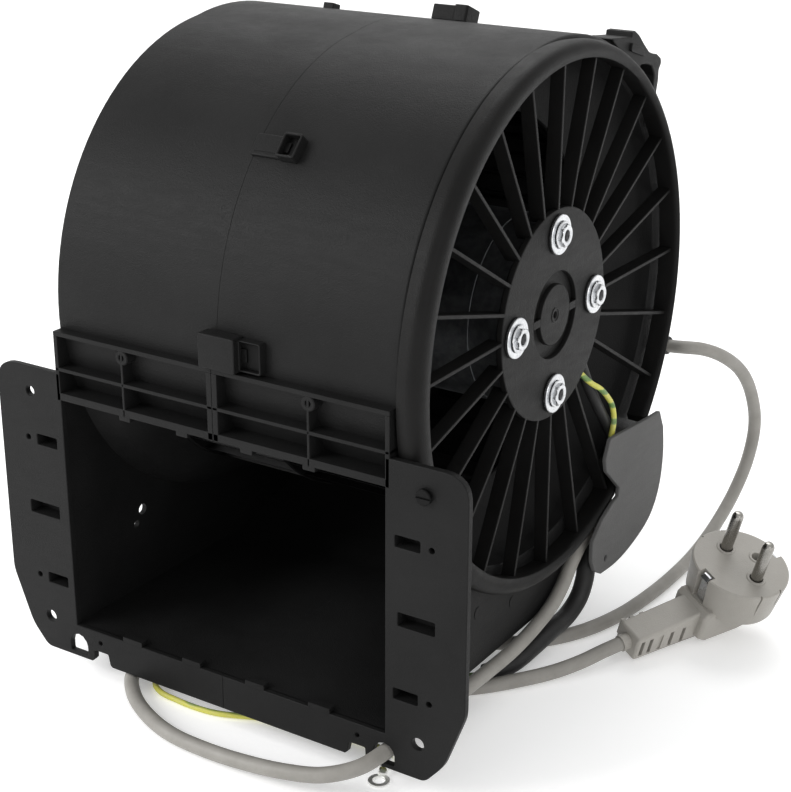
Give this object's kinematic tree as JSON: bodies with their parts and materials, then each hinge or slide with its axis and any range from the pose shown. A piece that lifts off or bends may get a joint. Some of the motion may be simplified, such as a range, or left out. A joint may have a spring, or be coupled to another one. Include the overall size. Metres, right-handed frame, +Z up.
{
  "type": "double-inlet centrifugal blower",
  "caption": "Double-inlet centrifugal blower: plastic scroll housing with flanged rectangular outlet, spoked inlet guards, motor in the wheel, mains lead with plug and earth lead.",
  "frame": {"origin": "middle of the standing object's outline, at the surface it stands on", "axes": "+X along the fan axis towards the motor side, -Y out of the air outlet, +Z up"},
  "size_m": [0.2548, 0.2951, 0.2484],
  "materials": {
    "shell": "moulded, fine satin grain",
    "guard": "moulded, satin",
    "cover": "moulded, matt grey",
    "zinc": "bright zinc plated",
    "steel": "plain steel",
    "galvanised": "galvanised sheet",
    "wheel": "moulded, satin",
    "copper": "enamelled copper",
    "lead": "light grey cable sheath",
    "plug": "moulded light grey",
    "sleeve": "black soft sleeve",
    "earth": "green and yellow insulation",
    "bakelite": "natural nylon"
  },
  "bodies": {
    "housing": {"scroll_shell_right": "shell", "scroll_shell_left": "shell", "seam_clip_front": "shell", "seam_clip_upper": "shell", "seam_clip_top": "shell", "seam_clip_rear": "shell", "seam_clip_low": "shell", "lead_hook": "shell", "lead_outlet": "shell", "inlet_guard_right": "guard", "inlet_guard_left": "guard", "wiring_cover": "cover", "terminal_block": "bakelite", "control_connector": "bakelite", "motor_lead_sheath": "lead", "mains_lead": "lead", "control_lead": "lead", "motor_earth_wire": "earth", "earth_lead": "earth", "motor_stud_1": "steel", "motor_stud_2": "steel", "motor_stud_3": "steel", "motor_stud_4": "steel", "stator_core": "steel", "bearing_rear": "steel", "bearing_front": "steel", "flange_screw": "steel", "washer_1": "zinc", "washer_2": "zinc", "washer_3": "zinc", "washer_4": "zinc", "nut_1": "zinc", "nut_2": "zinc", "nut_3": "zinc", "nut_4": "zinc", "ring_terminal": "zinc", "plug_pin_1": "zinc", "plug_pin_2": "zinc", "plug_clip_1": "zinc", "plug_clip_2": "zinc", "motor_can": "galvanised", "motor_end_bell": "galvanised", "stator_winding": "copper", "earth_sleeve": "sleeve", "plug_body": "plug"},
    "rotor": {"motor_shaft": "steel", "motor_rotor": "steel", "impeller": "wheel", "wheel_clamp": "zinc", "clamp_screw": "zinc"}
  },
  "joints": [
    {"name": "fan_spin", "type": "hinge", "parent": "housing", "child": "rotor", "pos_m": [0, -0.01327, 0.14577], "axis": [-1, 0, 0], "continuous": true}
  ]
}
